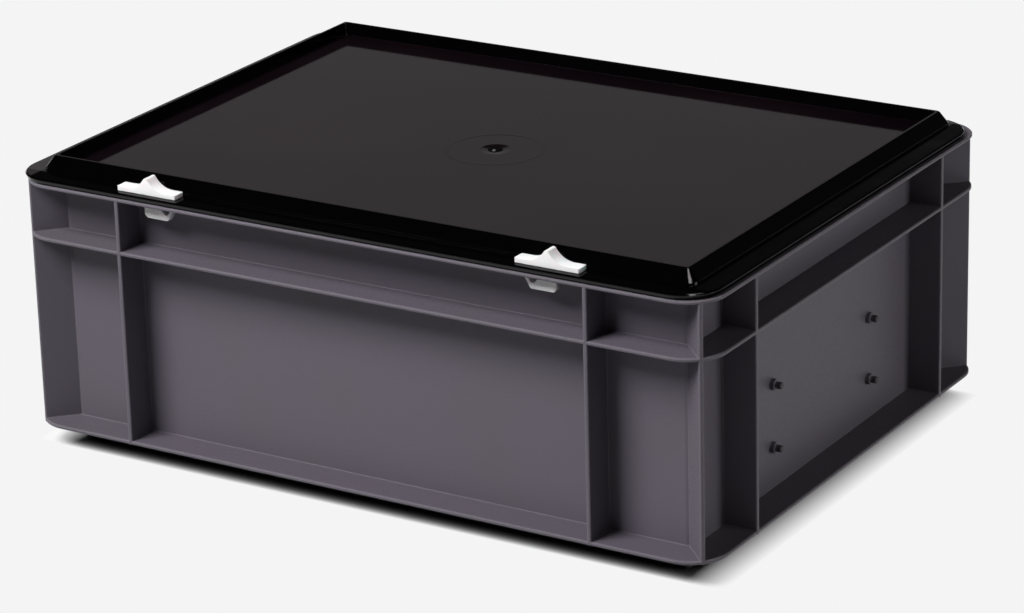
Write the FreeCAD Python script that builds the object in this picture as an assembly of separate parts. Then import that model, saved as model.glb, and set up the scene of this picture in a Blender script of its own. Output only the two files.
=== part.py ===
import FreeCAD, Part
import math
import os

V = FreeCAD.Vector

# Stacking container, outside sizes in millimetres. Origin on the standing face, in the middle.
length = 400.0
width = 300.0
height = 145.0
corner_r = 20.0
wall = 2.0
wall_corner_r = 4.0
inner_corner_r = 6.0
overshoot = 1.0
ledge_depth = 18.0
edge_soft = 0.45

# Stacking foot and floor
foot_height = 12.7
foot_inset = 3.4
foot_soft = 2.0
floor = 2.2
floor_soft = 2.5
base_band = 9.0
base_relief = 0.8

# Ledges and ribs round the outside
rim_thick = 1.8
mid_ledge_drop = 28.1
mid_ledge_thick = 2.0
low_ledge_thick = 1.9
rib = 2.3
long_rib_x = 135.3
short_rib_y = 100.0

# Pegs for a label holder on the right-hand end
peg_spacing_y = 103.4
peg_spacing_z = 33.1
peg_mid_z = 53.0
peg_collar_r = 2.9
peg_collar_len = 2.4
peg_r = 1.8
peg_len = 5.8
peg_tip_soft = 0.5

# Lid
lid_seat_gap = 0.1
lid_offset_x = -1.6
lid_edge = 3.2
lid_edge_soft = 0.8
lid_edge_lean = 1.0
flange_thick = 2.2
skirt = 2.0
rear_cut = 6.0
ridge_inset = 11.4
ridge_height = 7.6
ridge_foot = 1.4
ridge_lean = 4.8
ridge_top = 1.6
ridge_inner_lean = 1.0
ridge_corner_r = 6.6
tray_corner_r = 1.6
groove_corner = 3.0
groove_roof = 0.6
panel_rise = 0.7
panel_thick = 2.2
groove_depth = 4.4
guide_play = 2.5
guide_drop = 5.2
guide_thick = 2.0
guide_end = 14.0
gate_r = 8.0
gate_depth = 0.5
gate_x = 0.8
gate_y = -6.4

# Sliding latches
latch_x = 117.2
latch_length = 35.4
latch_inset = 3.8
latch_depth = 7.3
latch_plate = 2.3
latch_corner_r = 0.8
fin_rise = 6.3
fin_half = 11.6
fin_tip = 1.1
fin_crown = 0.45
fin_dip_x = 4.9
fin_dip_z = 1.95
latch_lift = 0.15
latch_left_rest = 0.0
latch_right_rest = 2.6
latch_travel = 9.6
hook_thick = 3.0
hook_setback = 2.9
stem_out = 3.5
stem_in = 7.0
hook_reach = 15.3
hook_drop = 7.8
hook_clear = 0.2
hook_toe = 1.6
notch_rise = 3.1
notch_root = 1.9
lip_thick = 1.8
lip_lean = 4.2
lip_foot = 0.6
barb = 0.5
barb_height = 0.7
barb_gap = 0.15
barb_end = 0.6
slot_side_gap = 0.4
slot_end_gap = 0.5
rim_slot_side_gap = 0.45

# Hinges at the rear
hinge_x = 110.0
hinge_back = 3.8
hinge_rise = 3.4
barrel_r = 2.3
pin_r = 1.1
pin_fit = 0.05
knuckle_fit = 0.1
clip_half = 20.0
clip_lug = 8.0
clip_base = 0.9
clip_depth = 7.4
leg_half = 7.7
leg_thick = 2.4
leg_setback = 2.6
leg_gap = 0.3
leg_clear = 0.1
leg_barb = 1.4
leg_barb_height = 2.6
knuckle_gap = 2.4
knuckle_reach = 4.4
knuckle_slope = 1.6
notch_gap = 0.8
pin_inset = 0.6

# Levels that follow from the sizes above
half_x = length / 2
half_y = width / 2
wall_x = half_x - ledge_depth
wall_y = half_y - ledge_depth
rim_under = height - rim_thick
mid_ledge_top = height - mid_ledge_drop
low_ledge_top = foot_height + low_ledge_thick
seat_z = height + lid_seat_gap
flange_top = height + lid_edge
flange_under = flange_top - flange_thick
ridge_top_z = flange_top + ridge_height
panel_top = flange_top + panel_rise
panel_under = panel_top - panel_thick
ridge_x = half_x - ridge_inset
ridge_y = half_y - ridge_inset
knuckle_half = clip_half - clip_lug - knuckle_gap
hinge_y = half_y - hinge_back
hinge_z = height + hinge_rise
lid_rear_y = half_y - rear_cut
hook_front_y = -half_y + latch_inset + hook_setback
latch_front_y = -half_y + latch_inset
latch_base_z = flange_top + latch_lift


def closed(points):
    """Closed wire of straight edges through the points."""
    return Part.makePolygon(points + [points[0]])


def outline(hx, hy, cut, z):
    """Centred rectangle as a closed wire, its corners cut straight across."""
    return closed([
        V(cut - hx, -hy, z), V(hx - cut, -hy, z), V(hx, cut - hy, z), V(hx, hy - cut, z),
        V(hx - cut, hy, z), V(cut - hx, hy, z), V(-hx, hy - cut, z), V(-hx, cut - hy, z),
    ])


def block(x0, x1, y0, y1, z0, z1):
    """Plain box between two corners."""
    return Part.makeBox(x1 - x0, y1 - y0, z1 - z0, V(x0, y0, z0))


def prism(hx, hy, cut, z0, z1, lean=0.0):
    """Solid on a centred rectangle with cut corners, its sides leaning in by the given amount."""
    low = outline(hx, hy, cut, z0)
    if lean == 0.0:
        return Part.Face(low).extrude(V(0, 0, z1 - z0))
    return Part.makeLoft([low, outline(hx - lean, hy - lean, cut, z1)], True, True)


def slab(hx, hy, r, z0, z1):
    """Upright plate on a centred rectangle with round corners."""
    plate = block(-hx, hx, -hy, hy, z0, z1)
    upright_edges = [edge for edge in plate.Edges if edge.BoundBox.ZLength > abs(z1 - z0) / 2]
    return plate.makeFillet(r, upright_edges)


def taper(hx, hy, r, z0, z1, lean):
    """Solid on a centred rectangle with round corners, its sides leaning in by the given amount."""
    parts = []
    for across, along, turn in ((hx, hy - r, 0), (hy, hx - r, 90)):
        high = across - lean
        ends = closed([V(-across, 0, z0), V(across, 0, z0), V(high, 0, z1), V(-high, 0, z1)])
        run = Part.Face(ends).extrude(V(0, 2 * along, 0))
        run.translate(V(0, -along, 0))
        run.rotate(V(0, 0, 0), V(0, 0, 1), turn)
        parts.append(run)
    for x in (-hx + r, hx - r):
        for y in (-hy + r, hy - r):
            parts.append(Part.makeCone(r, r - lean, z1 - z0, V(x, y, z0)))
    return parts[0].fuse(parts[1:]).removeSplitter()


def edges_at(shape, z):
    """Edges of a shape that lie wholly at one level."""
    found = []
    for edge in shape.Edges:
        box = edge.BoundBox
        if abs(box.ZMin - z) < 1e-4 and abs(box.ZMax - z) < 1e-4:
            found.append(edge)
    return found


def mirrored(shape, normal):
    """Copy of a shape on the other side of a plane through the origin."""
    return shape.mirror(V(0, 0, 0), normal)


def on_all_sides(shape):
    """A shape and its copies across the two upright middle planes."""
    across = mirrored(shape, V(1, 0, 0))
    return [shape, across, mirrored(shape, V(0, 1, 0)), mirrored(across, V(0, 1, 0))]


def ledge(z0, z1):
    """Plate round the outside with softened edges, before the inside is cleared."""
    plate = slab(half_x, half_y, corner_r, z0, z1)
    return plate.makeChamfer(edge_soft, edges_at(plate, z0) + edges_at(plate, z1))


def upright(x0, x1, y0, y1):
    """Rib from the bottom ledge to the rim with its two outer edges softened."""
    body = block(x0, x1, y0, y1, foot_height, height - edge_soft)
    outer = []
    for edge in body.Edges:
        box = edge.BoundBox
        tall = box.ZLength > 1.0
        at_front = abs(box.YMin - y0) < 1e-4
        if tall and at_front:
            outer.append(edge)
    return body.makeChamfer(edge_soft, outer)


def ribs():
    """Two ribs on each side and one at forty-five degrees in each corner."""
    long_rib = upright(long_rib_x - rib / 2, long_rib_x + rib / 2, -half_y, -wall_y + wall / 2)
    short_rib = upright(-rib / 2, rib / 2, -half_x, -wall_x + wall / 2)
    short_rib.rotate(V(0, 0, 0), V(0, 0, 1), 90)
    short_rib.translate(V(0, -short_rib_y, 0))
    reach = corner_r * (math.sqrt(2) - 1)
    sharp_corner = math.sqrt(2) * ledge_depth
    diagonal = upright(-rib / 2, rib / 2, -(sharp_corner - reach), wall)
    diagonal.rotate(V(0, 0, 0), V(0, 0, 1), 45)
    diagonal.translate(V(wall_x, -wall_y, 0))
    every = []
    for one in (long_rib, short_rib, diagonal):
        every.extend(on_all_sides(one))
    return every


def pegs():
    """Four stepped pegs on the right-hand wall."""
    every = []
    for y in (-peg_spacing_y / 2, peg_spacing_y / 2):
        for z in (peg_mid_z - peg_spacing_z / 2, peg_mid_z + peg_spacing_z / 2):
            root = V(wall_x - wall / 2, y, z)
            collar = Part.makeCylinder(peg_collar_r, wall / 2 + peg_collar_len, root, V(1, 0, 0))
            tip = Part.makeCylinder(peg_r, wall / 2 + peg_len, root, V(1, 0, 0))
            ends = [e for e in tip.Edges if e.BoundBox.XLength < 1e-4 and e.BoundBox.XMin > wall_x]
            every.append(collar.fuse(tip.makeChamfer(peg_tip_soft, ends)))
    return every


def rim_slots():
    """Slots in the rim: two at the front for the hooks, two at the rear for the hinge legs."""
    cuts = []
    play = abs(lid_offset_x)
    y0 = hook_front_y - rim_slot_side_gap
    y1 = hook_front_y + hook_thick + rim_slot_side_gap
    outer = latch_x + stem_out + play + slot_end_gap
    furthest_rest = max(latch_left_rest, latch_right_rest)
    inner = latch_x - hook_reach - furthest_rest - play - slot_end_gap
    hook_slot = block(inner, outer, y0, y1, rim_under - overshoot, height + overshoot)
    leg_y = half_y - leg_setback
    leg_slot = block(hinge_x - leg_half - leg_gap, hinge_x + leg_half + leg_gap,
                     leg_y - leg_thick - leg_gap, leg_y + leg_gap, rim_under - overshoot, height + overshoot)
    for one in (hook_slot, leg_slot):
        cuts.append(one)
        cuts.append(mirrored(one, V(1, 0, 0)))
    return cuts


def container():
    """The moulded box: walls, stacking foot, ledges, ribs and pegs in one piece."""
    shell = slab(wall_x, wall_y, wall_corner_r, foot_height, height)
    foot_x = wall_x - foot_inset
    foot_y = wall_y - foot_inset
    foot = slab(foot_x, foot_y, wall_corner_r, 0, low_ledge_top)
    foot = foot.makeChamfer(foot_soft, edges_at(foot, 0))
    outside = [foot]
    outside.append(ledge(foot_height, low_ledge_top))
    outside.append(ledge(mid_ledge_top - mid_ledge_thick, mid_ledge_top))
    outside.append(ledge(rim_under, height))
    body = shell.fuse(outside + ribs() + pegs())
    lower = slab(foot_x - wall, foot_y - wall, inner_corner_r, floor, low_ledge_top + overshoot)
    lower = lower.makeChamfer(floor_soft, edges_at(lower, floor))
    upper = slab(wall_x - wall, wall_y - wall, inner_corner_r, low_ledge_top, height + overshoot)
    relief = slab(foot_x - base_band, foot_y - base_band, inner_corner_r, -overshoot, base_relief)
    return body.cut([lower, upper, relief] + rim_slots()).removeSplitter()


def flange():
    """Lid plate with its skirt: a leaning edge and a softened top, cut back at the rear."""
    mid_y = (lid_rear_y - half_y) / 2
    span_y = (lid_rear_y + half_y) / 2
    shoulder = flange_top - lid_edge_soft
    low = taper(half_x - lid_edge_lean, span_y - lid_edge_lean, corner_r - lid_edge_lean,
                seat_z, shoulder, -lid_edge_lean)
    top = taper(half_x, span_y, corner_r, shoulder, flange_top, lid_edge_soft)
    under = slab(half_x - lid_edge_lean - skirt, span_y - lid_edge_lean - skirt,
                 corner_r - skirt, seat_z - overshoot, flange_under)
    plate = low.fuse(top).cut(under)
    plate.translate(V(0, mid_y, 0))
    return plate


def ridge():
    """Raised ridge round the panel: upright foot, sloping outside, narrow top."""
    foot = slab(ridge_x, ridge_y, ridge_corner_r, flange_under, flange_top + ridge_foot)
    slope = taper(ridge_x, ridge_y, ridge_corner_r, flange_top + ridge_foot, ridge_top_z, ridge_lean)
    return foot.fuse(slope.makeChamfer(edge_soft, edges_at(slope, ridge_top_z)))


def tray():
    """Hollow over the panel, with walls that lean a little."""
    inset = ridge_lean + ridge_top + ridge_inner_lean
    return taper(ridge_x - inset, ridge_y - inset, tray_corner_r, panel_top, ridge_top_z, -ridge_inner_lean)


def groove():
    """Hollow under the ridge, so that its walls have one thickness."""
    inner = ridge_lean + ridge_top + ridge_inner_lean - flange_thick
    narrow = (inner - flange_thick - groove_roof) / 2
    z0 = flange_under - overshoot
    z1 = flange_under + groove_depth
    outside = prism(ridge_x - flange_thick, ridge_y - flange_thick, groove_corner, z0, z1, narrow)
    inside = prism(ridge_x - inner, ridge_y - inner, groove_corner, z0, z1, -narrow)
    return outside.cut(inside)


def under_panel():
    """Step that brings the panel's underside up inside the groove."""
    inset = ridge_lean + ridge_top + ridge_inner_lean + flange_thick / 2
    return prism(ridge_x - inset, ridge_y - inset, groove_corner, seat_z, panel_under)


def guides():
    """Four straight ribs under the panel that drop into the container's mouth with play."""
    x1 = wall_x - wall - guide_play
    y1 = wall_y - wall - guide_play
    z0 = panel_under - guide_drop
    z1 = panel_under + panel_thick / 2
    side = block(x1 - guide_thick, x1, guide_end - y1, y1 - guide_end, z0, z1)
    front = block(guide_end - x1, x1 - guide_end, -y1, guide_thick - y1, z0, z1)
    return [side, mirrored(side, V(1, 0, 0)), front, mirrored(front, V(0, 1, 0))]


def knuckle(x):
    """Lug on the lid's rear edge that takes the hinge pin."""
    y0 = lid_rear_y - knuckle_reach
    web = block(x - knuckle_half, x + knuckle_half, y0, hinge_y,
                flange_under + edge_soft, hinge_z + knuckle_slope)
    front = [e for e in web.Edges if abs(e.BoundBox.YMax - y0) < 1e-4 and e.BoundBox.ZMin > flange_top]
    web = web.makeChamfer(knuckle_slope, front)
    barrel = Part.makeCylinder(barrel_r, 2 * knuckle_half, V(x - knuckle_half, hinge_y, hinge_z), V(1, 0, 0))
    return web.fuse(barrel)


def knuckle_bore(x):
    """Running hole for the pin."""
    span = 2 * (knuckle_half + overshoot)
    return Part.makeCylinder(pin_r + knuckle_fit, span, V(x - span / 2, hinge_y, hinge_z), V(1, 0, 0))


def clip_notch(x):
    """Gap in the lid's rear edge round a hinge clip."""
    reach = clip_half + abs(lid_offset_x) + notch_gap
    y0 = half_y - clip_depth - notch_gap
    return block(x - reach, x + reach, y0, half_y + overshoot,
                 height - overshoot, flange_top + overshoot)


def latch_slot(side):
    """Slot in the flange for a latch's stem over its whole travel."""
    outer = latch_x + stem_out + slot_side_gap
    inner = latch_x - stem_in - latch_travel - slot_side_gap
    y0 = hook_front_y - slot_side_gap
    y1 = hook_front_y + hook_thick + slot_side_gap
    x0 = min(side * outer, side * inner)
    x1 = max(side * outer, side * inner)
    return block(x0, x1, y0, y1, seat_z - overshoot, flange_top + overshoot)


def lid():
    """The hinged lid in one piece, built on its own middle and moved to where it sits."""
    body = flange().fuse(ridge())
    cuts = [tray(), groove(), under_panel(), latch_slot(-1), latch_slot(1)]
    for x in (-hinge_x, hinge_x):
        cuts.append(clip_notch(x - lid_offset_x))
    cuts.append(Part.makeCylinder(gate_r, gate_depth, V(gate_x, gate_y, panel_top - gate_depth)))
    body = body.cut(cuts)
    body = body.fuse(guides() + [knuckle(-hinge_x), knuckle(hinge_x)])
    body = body.cut([knuckle_bore(-hinge_x), knuckle_bore(hinge_x)]).removeSplitter()
    body.translate(V(lid_offset_x, 0, 0))
    return body


def latch_top():
    """Plate with its thumb fin, drawn from the front and pushed through its depth."""
    half = latch_length / 2
    z0 = latch_base_z
    z1 = z0 + latch_plate
    peak = z1 + fin_rise
    dip = V(fin_dip_x, 0, z1 + fin_dip_z)
    points = [V(-half, 0, z1), V(-half, 0, z0), V(half, 0, z0), V(half, 0, z1), V(fin_half, 0, z1)]
    edges = []
    for a, b in zip(points, points[1:]):
        edges.append(Part.LineSegment(a, b).toShape())
    right_tip = V(fin_tip, 0, peak - fin_crown)
    left_tip = V(-fin_tip, 0, peak - fin_crown)
    edges.append(Part.Arc(points[-1], dip, right_tip).toShape())
    edges.append(Part.Arc(right_tip, V(0, 0, peak), left_tip).toShape())
    edges.append(Part.Arc(left_tip, V(-dip.x, 0, dip.z), V(-fin_half, 0, z1)).toShape())
    edges.append(Part.LineSegment(V(-fin_half, 0, z1), points[0]).toShape())
    top = Part.Face(Part.Wire(edges)).extrude(V(0, latch_depth, 0))
    top.translate(V(0, latch_front_y, 0))
    ends = []
    for edge in top.Edges:
        box = edge.BoundBox
        if box.XLength < 1e-4 and box.YLength < 1e-4 and abs(abs(box.XMin) - half) < 1e-4:
            ends.append(edge)
    return top.makeFillet(latch_corner_r, ends)


def hook():
    """Stem with a springy lip on its inboard side, drawn from the front. Inboard is +X here."""
    top = latch_base_z + latch_plate / 2
    bottom = rim_under - hook_drop
    lip_top = rim_under - hook_clear
    notch_z = bottom + notch_rise
    lip_out = hook_reach - lip_lean
    face = Part.Face(closed([
        V(-stem_out, 0, top),
        V(-stem_out, 0, bottom + hook_toe),
        V(hook_toe - stem_out, 0, bottom),
        V(lip_out - lip_foot, 0, bottom),
        V(lip_out, 0, bottom + lip_foot),
        V(hook_reach, 0, lip_top),
        V(hook_reach - lip_thick, 0, lip_top),
        V(lip_out - lip_foot, 0, notch_z),
        V(stem_in + notch_root, 0, notch_z),
        V(stem_in, 0, notch_z + notch_root),
        V(stem_in, 0, top),
    ]))
    foot = face.extrude(V(0, hook_thick, 0))
    foot.translate(V(0, hook_front_y, 0))
    z0 = flange_under - barb_gap - barb_height
    out = slot_side_gap + barb
    grip = block(barb_end - stem_out, stem_in - barb_end, hook_front_y - out,
                 hook_front_y + hook_thick + out, z0, z0 + barb_height)
    return foot.fuse(grip)


def latch(side, rest):
    """A latch at its rest place: side -1 is the left one and +1 the right one."""
    body = latch_top().fuse(hook()).removeSplitter()
    if side > 0:
        body = mirrored(body, V(1, 0, 0))
    body.translate(V(side * (latch_x - rest) + lid_offset_x, 0, 0))
    return body


def clip_lugs(x):
    """Two lugs over the rim, round about the pin."""
    lugs = []
    for start in (x - clip_half, x + clip_half - clip_lug):
        end = start + clip_lug
        lugs.append(block(start, end, hinge_y - barrel_r, hinge_y + barrel_r, height, hinge_z))
        lugs.append(Part.makeCylinder(barrel_r, clip_lug, V(start, hinge_y, hinge_z), V(1, 0, 0)))
    return lugs


def clip_leg(x):
    """Flat leg through the rim with a barb at each end."""
    y1 = half_y - leg_setback
    z1 = rim_under - leg_clear
    z0 = z1 - leg_barb_height
    z2 = height + clip_base / 2
    leg = Part.Face(closed([
        V(x - leg_half, y1, z2), V(x - leg_half, y1, z1), V(x - leg_half - leg_barb, y1, z1),
        V(x - leg_half, y1, z0), V(x + leg_half, y1, z0),
        V(x + leg_half + leg_barb, y1, z1), V(x + leg_half, y1, z1), V(x + leg_half, y1, z2),
    ]))
    return leg.extrude(V(0, -leg_thick, 0))


def hinge_clip(x):
    """Clip on the rear rim: base, two bored lugs and a barbed leg through the rim."""
    base = block(x - clip_half, x + clip_half, half_y - clip_depth, half_y, height, height + clip_base)
    start = V(x - clip_half - overshoot, hinge_y, hinge_z)
    bore = Part.makeCylinder(pin_r + pin_fit, 2 * (clip_half + overshoot), start, V(1, 0, 0))
    return base.fuse(clip_lugs(x) + [clip_leg(x)]).cut(bore).removeSplitter()


def hinge_pin(x):
    """Pin from lug to lug."""
    half = clip_half - pin_inset
    return Part.makeCylinder(pin_r, 2 * half, V(x - half, hinge_y, hinge_z), V(1, 0, 0))


def main():
    os.makedirs("parts", exist_ok=True)
    shapes = {
        "container": container(),
        "lid": lid(),
        "latch_left": latch(-1, latch_left_rest),
        "latch_right": latch(1, latch_right_rest),
        "hinge_clip_left": hinge_clip(-hinge_x),
        "hinge_clip_right": hinge_clip(hinge_x),
        "hinge_pin_left": hinge_pin(-hinge_x),
        "hinge_pin_right": hinge_pin(hinge_x),
    }
    for name, shape in shapes.items():
        box = shape.BoundBox
        print(name, "solids", len(shape.Solids), "valid", shape.isValid(), "volume", round(shape.Volume, 1),
              "z", round(box.ZMin, 2), round(box.ZMax, 2))
        shape.exportStep("parts/" + name + ".step")


main()
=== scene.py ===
"""Looks of the euro stacking container: finishes, moulding marks, studio light and camera."""

import math

import bmesh
import bpy
from mathutils import Matrix, Vector


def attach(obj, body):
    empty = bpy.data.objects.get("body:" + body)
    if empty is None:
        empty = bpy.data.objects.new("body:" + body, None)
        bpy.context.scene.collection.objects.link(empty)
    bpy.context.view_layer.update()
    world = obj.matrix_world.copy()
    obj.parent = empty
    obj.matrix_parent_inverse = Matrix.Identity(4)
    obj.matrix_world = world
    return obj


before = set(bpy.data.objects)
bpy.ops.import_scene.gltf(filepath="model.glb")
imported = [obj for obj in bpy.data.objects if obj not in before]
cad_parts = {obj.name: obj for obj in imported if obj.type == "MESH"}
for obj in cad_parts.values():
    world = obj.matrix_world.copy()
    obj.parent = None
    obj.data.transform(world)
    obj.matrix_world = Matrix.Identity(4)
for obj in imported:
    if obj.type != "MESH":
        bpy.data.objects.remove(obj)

# sizes in metres, in the frame of the CAD part
length = 0.4
width = 0.3
panel_z = 0.1489
panel_half_x = 0.184
panel_half_y = 0.134
panel_over = 0.0003  # how far above and below its face the panel has its own finish
panel_under = 0.0012
lid_x = -0.0016
ridge_half_x = 0.1886
ridge_half_y = 0.1386
flange_droop = 0.14  # fall of the flange for each metre outwards
peg_root_x = 0.1855
peg_reach_y = 0.06
peg_middle_z = 0.053
peg_reach_z = 0.025
gate_x = -0.0008
gate_y = -0.0064
gate_r = 0.008
gate_depth = 0.00038
gate_bed_r = 0.0039
gate_nub_y = gate_y - 0.0012
gate_ring_r = 0.0238

# camera: direction it looks from in degrees, point it looks at, distance, lens on a 36 mm sensor
camera_azimuth = 31.87
camera_elevation = 20.39
camera_roll = -1.57
camera_target = Vector((0.0026, 0, 0.0618))
camera_distance = 2.073
camera_lens = 140.6

# levels of light, where 1 is white
background_white = 0.905
floor_bounce = 0.2
ambient = 0.03
sky_in_gloss = 0.03

# floor: its half size, and the edge of the shadow inside and outside the object's outline with its fall
floor_reach = 15
# reach of the floor's painted contact shadow
contact_distance = 0.03
side_shadow = {"inner": 0.019, "outer": 0.003, "power": 1.1}
front_shadow = {"inner": 0.024, "outer": -0.0085, "power": 5.0}

# points that the lamps and the reflection cards face
lamp_aim = Vector((0, 0, 0.08))
card_aim = Vector((0, 0, 0.149))


def node(tree, kind, inputs=None, **settings):
    """A shader node with its settings and its inputs, each a value or the socket that feeds it."""
    made = tree.nodes.new("ShaderNode" + kind)
    for name, value in settings.items():
        setattr(made, name, value)
    for name, value in (inputs or {}).items():
        if isinstance(value, bpy.types.NodeSocket):
            tree.links.new(value, made.inputs[name])
        else:
            made.inputs[name].default_value = value
    return made


def maths(tree, operation, a, b=0.0):
    """The result of a sum or other operation on two numbers or sockets."""
    return node(tree, "Math", {0: a, 1: b}, operation=operation).outputs[0]


def between(tree, value, low, high, to_low=0.0, to_high=1.0):
    """value stretched from low..high to to_low..to_high, smooth at both ends."""
    inputs = {"Value": value, "From Min": low, "From Max": high, "To Min": to_low, "To Max": to_high}
    return node(tree, "MapRange", inputs, interpolation_type="SMOOTHSTEP").outputs["Result"]


def blend_colours(tree, factor, a, b):
    """Colour a where factor is 0 and b where it is 1."""
    mix = node(tree, "Mix", {0: factor}, data_type="RGBA")
    for socket, value in ((mix.inputs[6], a), (mix.inputs[7], b)):
        if isinstance(value, bpy.types.NodeSocket):
            tree.links.new(value, socket)
        else:
            socket.default_value = value
    return mix.outputs[2]


def new_material(name):
    """An empty node material, with its tree and output node."""
    material = bpy.data.materials.new(name)
    material.use_nodes = True
    tree = material.node_tree
    tree.nodes.clear()
    return material, tree, node(tree, "OutputMaterial")


def principled(tree, output, inputs):
    """Ends a material with one Principled shader."""
    shader = node(tree, "BsdfPrincipled", inputs)
    tree.links.new(shader.outputs[0], output.inputs["Surface"])


def distance_from(tree, axis, middle):
    """How far a coordinate is from middle, either way."""
    return maths(tree, "ABSOLUTE", maths(tree, "SUBTRACT", axis, middle))


def places(tree):
    """Coordinates fixed to the moulding, in metres."""
    return node(tree, "TexCoord").outputs["Object"]


def noise(tree, where, scale, detail=2.0, roughness=0.5):
    """Soft noise from 0 to 1, with scale patches to the metre."""
    inputs = {"Vector": where, "Scale": scale, "Detail": detail, "Roughness": roughness}
    return node(tree, "TexNoise", inputs).outputs["Fac"]


def edge_share(tree, radius):
    """1 on sharp edges and 0 on flats, from how far a rounded normal turns from the true one."""
    rounded = node(tree, "Bevel", {"Radius": radius}, samples=4).outputs["Normal"]
    true = node(tree, "NewGeometry").outputs["Normal"]
    likeness = node(tree, "VectorMath", {0: rounded, 1: true}, operation="DOT_PRODUCT").outputs["Value"]
    return between(tree, likeness, 0.998, 0.9)


def grained(tree, where, size, depth, edge_radius, sink=0.0):
    """Normal of a fine moulded grain, over edges rounded to edge_radius unless that is 0."""
    height = maths(tree, "MULTIPLY", noise(tree, where, 1 / size, 3.0, 0.6), depth)
    inputs = {"Strength": 1.0, "Distance": 1.0, "Height": maths(tree, "SUBTRACT", height, sink)}
    if edge_radius > 0:
        inputs["Normal"] = node(tree, "Bevel", {"Radius": edge_radius}, samples=4).outputs["Normal"]
    return node(tree, "Bump", inputs).outputs["Normal"]


def peg_share(tree, where):
    """1 on the label pegs, whose colour is painted dark as shade, and 0 elsewhere."""
    x, y, z = node(tree, "SeparateXYZ", {0: where}).outputs
    off_wall = maths(tree, "GREATER_THAN", x, peg_root_x)
    near_y = maths(tree, "LESS_THAN", maths(tree, "ABSOLUTE", y), peg_reach_y)
    near_z = maths(tree, "LESS_THAN", distance_from(tree, z, peg_middle_z), peg_reach_z)
    return maths(tree, "MULTIPLY", off_wall, maths(tree, "MULTIPLY", near_y, near_z))


def container_finish():
    """Dark grey polypropylene: fine spark-eroded grain, lighter edges that are partly wear and partly
    painted highlight, upward faces slightly darker as painted shade, and label pegs painted dark as shade.
    """
    material, tree, output = new_material("container_grained_plastic")
    where = places(tree)
    tone = between(tree, noise(tree, where, 22, 3.0), 0.3, 0.7)
    grey = blend_colours(tree, tone, (0.116, 0.102, 0.124, 1), (0.118, 0.103, 0.131, 1))
    speckle = between(tree, noise(tree, where, 2600, 1.0), 0.35, 0.7)
    flecked = blend_colours(tree, maths(tree, "MULTIPLY", speckle, 0.25), grey, (0.165, 0.145, 0.18, 1))
    # faces turned upwards are painted up to 16 % darker: painted shade, so that the ledge tops sit darker
    # than the walls
    up = node(tree, "SeparateXYZ", {0: node(tree, "NewGeometry").outputs["Normal"]}).outputs["Z"]
    shaded = blend_colours(tree, between(tree, up, 0.5, 1.0, 0.0, 0.16), flecked, (0.0, 0.0, 0.0, 1))
    # lighter convex and concave edges: partly wear, partly a painted highlight where rounded edges and
    # fillets would catch the key light
    edge_wear_and_highlight = maths(tree, "MULTIPLY", edge_share(tree, 0.0008), 0.6)
    edged = blend_colours(tree, edge_wear_and_highlight, shaded, (0.25, 0.24, 0.252, 1))
    # the pegs are the wall's own plastic: their near-black colour is painted shade
    peg_painted_shade = maths(tree, "MULTIPLY", peg_share(tree, where), 0.7)
    colour = blend_colours(tree, peg_painted_shade, edged, (0.01, 0.009, 0.011, 1))
    rough = between(tree, noise(tree, where, 900, 2.0), 0.3, 0.7, 0.48, 0.62)
    principled(tree, output, {
        "Base Color": colour,
        "Roughness": rough,
        "Specular IOR Level": 0.35,
        "Normal": grained(tree, where, 0.0006, 0.00004, 0.0008),
    })
    return material


def lid_finish(name, edge_radius):
    """Black plastic, polished: the panel inside the ridge is a shade browner, the flange droops outwards."""
    material, tree, output = new_material(name)
    where = places(tree)
    x, y, z = node(tree, "SeparateXYZ", {0: where}).outputs
    off_x = distance_from(tree, x, lid_x)
    off_y = maths(tree, "ABSOLUTE", y)
    inside_x = maths(tree, "LESS_THAN", off_x, panel_half_x)
    inside_y = maths(tree, "LESS_THAN", off_y, panel_half_y)
    below = maths(tree, "LESS_THAN", z, panel_z + panel_over)
    above = maths(tree, "GREATER_THAN", z, panel_z - panel_under)
    flat = maths(tree, "MULTIPLY", below, above)
    panel = maths(tree, "MULTIPLY", maths(tree, "MULTIPLY", inside_x, inside_y), flat)
    cloud = between(tree, noise(tree, where, 9, 3.0), 0.3, 0.7)
    panel_colour = blend_colours(tree, cloud, (0.003, 0.0016, 0.0024, 1), (0.0055, 0.003, 0.0043, 1))
    colour = blend_colours(tree, panel, (0.0008, 0.0007, 0.0009, 1), panel_colour)
    smear = between(tree, noise(tree, where, 30, 4.0), 0.3, 0.75, 0.08, 0.14)
    texture = between(tree, noise(tree, where, 400, 2.0), 0.3, 0.7, 0.06, 0.09)
    rough = node(tree, "Mix", {0: panel, 2: smear, 3: texture}, data_type="FLOAT").outputs[0]
    past_x = maths(tree, "MAXIMUM", maths(tree, "SUBTRACT", off_x, ridge_half_x), 0.0)
    past_y = maths(tree, "MAXIMUM", maths(tree, "SUBTRACT", off_y, ridge_half_y), 0.0)
    droop = maths(tree, "MULTIPLY", maths(tree, "ADD", past_x, past_y), flange_droop)
    principled(tree, output, {
        "Base Color": colour,
        "Roughness": rough,
        "Specular IOR Level": 0.22,
        "Normal": grained(tree, where, 0.0009, 0.000004, edge_radius, droop),
    })
    return material


def scar_finish(name, shade):
    """Dull torn plastic where the gate was cut off, in the given shade; on the nub a light shade stands as a
    painted highlight.
    """
    material, tree, output = new_material(name)
    where = places(tree)
    patch = between(tree, noise(tree, where, 3000, 2.0), 0.3, 0.7)
    colour = blend_colours(tree, patch, (shade * 0.6,) * 3 + (1,), (shade,) * 3 + (1,))
    principled(tree, output, {
        "Base Color": colour,
        "Roughness": 0.7,
        "Specular IOR Level": 0.05,
        "Normal": grained(tree, where, 0.0004, 0.00002, 0),
    })
    return material


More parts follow.
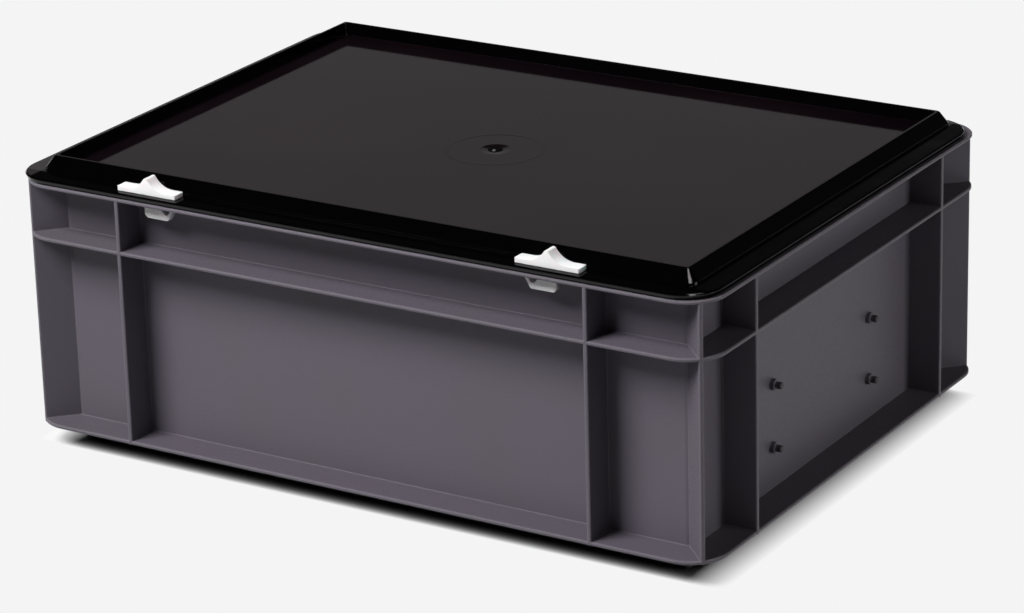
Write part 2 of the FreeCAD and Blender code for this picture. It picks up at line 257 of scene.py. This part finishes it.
def latch_finish():
    """White acetal: satin, a little light passes into it."""
    material, tree, output = new_material("latch_white_plastic")
    where = places(tree)
    tone = between(tree, noise(tree, where, 60, 2.0), 0.3, 0.7)
    colour = blend_colours(tree, tone, (0.95, 0.91, 0.92, 1), (0.97, 0.94, 0.95, 1))
    rough = between(tree, noise(tree, where, 500, 2.0), 0.3, 0.7, 0.3, 0.42)
    principled(tree, output, {
        "Base Color": colour,
        "Roughness": rough,
        "Specular IOR Level": 0.5,
        "Subsurface Weight": 0.3,
        "Subsurface Radius": (1.0, 0.65, 0.68),
        "Subsurface Scale": 0.005,
        "Normal": grained(tree, where, 0.0005, 0.000008, 0.0003),
    })
    return material


def clip_finish():
    """Black nylon of the hinge clips, satin with a faint grain."""
    material, tree, output = new_material("clip_black_plastic")
    where = places(tree)
    tone = between(tree, noise(tree, where, 80, 2.0), 0.3, 0.7)
    colour = blend_colours(tree, tone, (0.012, 0.012, 0.013, 1), (0.02, 0.02, 0.022, 1))
    rough = between(tree, noise(tree, where, 900, 2.0), 0.3, 0.7, 0.38, 0.52)
    principled(tree, output, {
        "Base Color": colour,
        "Roughness": rough,
        "Specular IOR Level": 0.4,
        "Normal": grained(tree, where, 0.0005, 0.00002, 0.0003),
    })
    return material


def pin_finish():
    """Drawn steel wire: fine scratches run along the pin."""
    material, tree, output = new_material("pin_drawn_steel")
    stretched = node(tree, "Mapping", {"Vector": places(tree), "Scale": (60, 2500, 2500)}).outputs[0]
    scratches = noise(tree, stretched, 1.0, 3.0, 0.6)
    colour = blend_colours(tree, scratches, (0.5, 0.5, 0.5, 1), (0.66, 0.66, 0.65, 1))
    rough = between(tree, scratches, 0.3, 0.7, 0.22, 0.42)
    bump = node(tree, "Bump", {"Strength": 1.0, "Distance": 0.000005, "Height": scratches}).outputs["Normal"]
    principled(tree, output, {
        "Base Color": colour,
        "Metallic": 1.0,
        "Roughness": rough,
        "Normal": bump,
    })
    return material


def dress(name, material):
    """Gives a CAD node its finish."""
    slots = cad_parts[name].data.materials
    slots.clear()
    slots.append(material)


def placed(name, data):
    """A new object in the scene that shows data."""
    made = bpy.data.objects.new(name, data)
    bpy.context.scene.collection.objects.link(made)
    return made


def sheet(name, half_x, half_y, material):
    """A flat rectangle that faces up, round its own middle."""
    data = bpy.data.meshes.new(name)
    corners = [(-half_x, -half_y, 0), (half_x, -half_y, 0), (half_x, half_y, 0), (-half_x, half_y, 0)]
    data.from_pydata(corners, [], [(0, 1, 2, 3)])
    data.materials.append(material)
    return placed(name, data)


def turned_piece(name, profile, centre, material, body, steps=64):
    """A round piece made by turning a profile of (radius, height) points about an upright line."""
    mesh = bmesh.new()
    rings = []
    for radius, height in profile:
        if radius == 0:
            rings.append([mesh.verts.new((0, 0, height))] * steps)
            continue
        ring = []
        for i in range(steps):
            turn = 2 * math.pi * i / steps
            ring.append(mesh.verts.new((radius * math.cos(turn), radius * math.sin(turn), height)))
        rings.append(ring)
    for inner, outer in zip(rings, rings[1:]):
        for i in range(steps):
            j = (i + 1) % steps
            corners = []
            for corner in (inner[i], outer[i], outer[j], inner[j]):
                if corner not in corners:
                    corners.append(corner)
            mesh.faces.new(corners)
    bmesh.ops.recalc_face_normals(mesh, faces=mesh.faces)
    data = bpy.data.meshes.new(name)
    mesh.to_mesh(data)
    mesh.free()
    data.materials.append(material)
    made = placed(name, data)
    made.location = centre
    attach(made, body)


def moulding_marks(material):
    """Marks of the mould on the lid's panel: the gate's dish and nub, and a ring round it."""
    low = panel_z - gate_depth
    dish = [(gate_bed_r, low), (gate_r, panel_z), (gate_r + 0.0003, panel_z + 0.00002),
            (gate_r + 0.0004, panel_z - 0.0001), (gate_bed_r, low - 0.00006), (gate_bed_r, low)]
    bed = [(0.0, low + 0.00004), (gate_bed_r, low + 0.00001),
           (gate_bed_r, low - 0.00004), (0.0, low - 0.00004)]
    nub = [(0.0, 0.0006), (0.0007, 0.0005), (0.001, 0.0), (0.0, -0.00002)]
    ring = [(gate_ring_r - 0.0009, -0.00002), (gate_ring_r + 0.0002, 0.00004),
            (gate_ring_r + 0.0045, -0.00002), (gate_ring_r - 0.0009, -0.00002)]
    bed_material = scar_finish("gate_bed_plastic", 0.002)
    # the nub's light grey colour is a painted highlight
    nub_highlight_material = scar_finish("gate_nub_painted_highlight", 0.14)
    turned_piece("gate_dish", dish, (gate_x, gate_y, 0), material, "lid")
    turned_piece("gate_bed", bed, (gate_x, gate_y, 0), bed_material, "lid")
    turned_piece("gate_nub", nub, (gate_x, gate_nub_y, low), nub_highlight_material, "lid", 24)
    turned_piece("gate_ring", ring, (gate_x, gate_y, panel_z), material, "lid", 128)


def cleared(tree, axis, half, inner, outer, power):
    """0 where the floor is deeper than inner under the object and 1 beyond outer outside it."""
    limits = {"Value": maths(tree, "ABSOLUTE", axis), "From Min": half - inner, "From Max": half + outer}
    return maths(tree, "POWER", node(tree, "MapRange", limits).outputs[0], power)


def floor_finish():
    """Pale floor: near the object it takes the lamps' shadow and a painted contact shadow, and further out
    it is as white as the backdrop.
    """
    material, tree, output = new_material("stage_floor")
    position = node(tree, "NewGeometry").outputs["Position"]
    x, y, _ = node(tree, "SeparateXYZ", {0: position}).outputs
    near_x = maths(tree, "SUBTRACT", 1.0, cleared(tree, x, length / 2, **side_shadow))
    near_y = maths(tree, "SUBTRACT", 1.0, cleared(tree, y, width / 2, **front_shadow))
    shaded = maths(tree, "MULTIPLY", near_x, near_y)
    far = maths(tree, "SUBTRACT", 1.0, shaded)
    path = node(tree, "LightPath").outputs
    seen = maths(tree, "MAXIMUM", path["Is Camera Ray"], path["Is Glossy Ray"])
    seen = maths(tree, "MAXIMUM", seen, path["Is Transmission Ray"])
    # ambient occlusion darkens the floor's colour near the object: a painted contact shadow
    open_sky = node(tree, "AmbientOcclusion", {"Distance": contact_distance}, samples=8).outputs["AO"]
    painted_contact_shadow = between(tree, open_sky, 0.1, 0.6)
    pale = maths(tree, "MULTIPLY", painted_contact_shadow, background_white)
    shade = node(tree, "Mix", {0: seen, 2: floor_bounce, 3: pale}, data_type="FLOAT").outputs[0]
    lit = node(tree, "BsdfDiffuse", {"Color": shade}).outputs[0]
    white = node(tree, "Emission", {"Color": (background_white,) * 3 + (1,)}).outputs[0]
    mixed = node(tree, "MixShader", {0: maths(tree, "MULTIPLY", far, seen), 1: lit, 2: white}).outputs[0]
    tree.links.new(mixed, output.inputs["Surface"])
    return material


def floor():
    sheet("stage_floor", floor_reach, floor_reach, floor_finish())


def backdrop():
    """A dim studio that the camera sees as pale, and that reflections see as paler near the horizon."""
    world = bpy.data.worlds.new("studio")
    world.use_nodes = True
    bpy.context.scene.world = world
    tree = world.node_tree
    tree.nodes.clear()
    path = node(tree, "LightPath").outputs
    direction = node(tree, "TexCoord").outputs["Generated"]
    height = node(tree, "SeparateXYZ", {0: direction}).outputs["Z"]
    sky = between(tree, height, 0.35, 0.65, sky_in_gloss, 0.0)
    dim = node(tree, "Mix", {0: path["Is Glossy Ray"], 2: ambient, 3: sky}, data_type="FLOAT").outputs[0]
    strength = node(tree, "Mix", {0: path["Is Camera Ray"], 2: dim, 3: background_white}, data_type="FLOAT")
    shader = node(tree, "Background", {"Color": (1, 1, 1, 1), "Strength": strength.outputs[0]})
    output = node(tree, "OutputWorld")
    tree.links.new(shader.outputs[0], output.inputs["Surface"])


def towards(azimuth, elevation):
    """Unit vector from the object towards a place, with azimuth 0 in front and 90 at the right."""
    a = math.radians(azimuth)
    e = math.radians(elevation)
    return Vector((math.sin(a) * math.cos(e), -math.cos(a) * math.cos(e), math.sin(e)))


def soft_lamp(name, azimuth, elevation, distance, size, power, in_gloss):
    """A square soft lamp that shines at the middle of the object."""
    lamp = bpy.data.lights.new(name, "AREA")
    lamp.shape = "SQUARE"
    lamp.size = size
    lamp.energy = power
    made = placed(name, lamp)
    back = towards(azimuth, elevation)
    made.location = lamp_aim + back * distance
    made.rotation_euler = back.to_track_quat("Z", "Y").to_euler()
    made.visible_camera = False
    made.visible_glossy = in_gloss


def plain_power(distance, level):
    """Power of a lamp that lights a surface facing it to level, where 1 shows a colour as written."""
    return level * (math.pi * distance) ** 2


def lamps():
    """Key light from the front left, a low light on the right-hand end and a weak one behind."""
    soft_lamp("key_lamp", -28, 48, 2.2, 1.0, plain_power(2.2, 1.38), False)
    soft_lamp("side_lamp", 100, 9, 2.0, 0.7, plain_power(2.0, 0.23), True)
    soft_lamp("back_lamp", 205, 35, 2.2, 0.9, plain_power(2.2, 0.45), False)


def reflection_card(name, azimuth, elevation, distance, size, glow):
    """A pale card that only reflections see, size wide and high. It faces the lid as a lamp does."""
    material, tree, output = new_material(name)
    shine = node(tree, "Emission", {"Color": (1, 0.94, 0.97, 1), "Strength": glow}).outputs[0]
    tree.links.new(shine, output.inputs["Surface"])
    made = sheet(name, size[0] / 2, size[1] / 2, material)
    back = towards(azimuth, elevation)
    made.location = card_aim + back * distance
    made.rotation_euler = back.to_track_quat("Z", "Y").to_euler()
    made.visible_camera = False
    made.visible_diffuse = False
    made.visible_shadow = False


def reflection_cards():
    """What the polished lid mirrors: a card in the panel, one in the ridge's corner, one in its edge."""
    reflection_card("stage_card_panel", -148, 12.8, 2.4, (2.4, 0.9), 0.225)
    reflection_card("stage_card_corner", 66, 54, 1.8, (0.7, 0.5), 13.0)
    reflection_card("stage_card_edge", -31, 18, 2.0, (0.3, 0.12), 6.0)


def camera():
    """The photo's viewpoint."""
    data = bpy.data.cameras.new("camera")
    data.lens = camera_lens
    data.sensor_width = 36
    data.clip_start = 0.05
    data.clip_end = 60
    made = placed("camera", data)
    back = towards(camera_azimuth, camera_elevation)
    across = math.radians(camera_azimuth)
    right = Vector((math.cos(across), math.sin(across), 0))
    turn = Matrix((right, back.cross(right), back)).transposed()
    roll = Matrix.Rotation(math.radians(camera_roll), 3, "Z")
    at = camera_target + back * camera_distance
    made.matrix_world = Matrix.Translation(at) @ (turn @ roll).to_4x4()
    bpy.context.scene.camera = made


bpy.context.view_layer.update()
bpy.context.scene.view_settings.view_transform = "Standard"

latch_material = latch_finish()
clip_material = clip_finish()
pin_material = pin_finish()
dress("container", container_finish())
dress("lid", lid_finish("lid_gloss_plastic", 0.0007))
for side in ("left", "right"):
    dress("latch_" + side, latch_material)
    dress("hinge_clip_" + side, clip_material)
    dress("hinge_pin_" + side, pin_material)

moulding_marks(lid_finish("lid_mark_plastic", 0))
floor()
backdrop()
reflection_cards()
lamps()
camera()
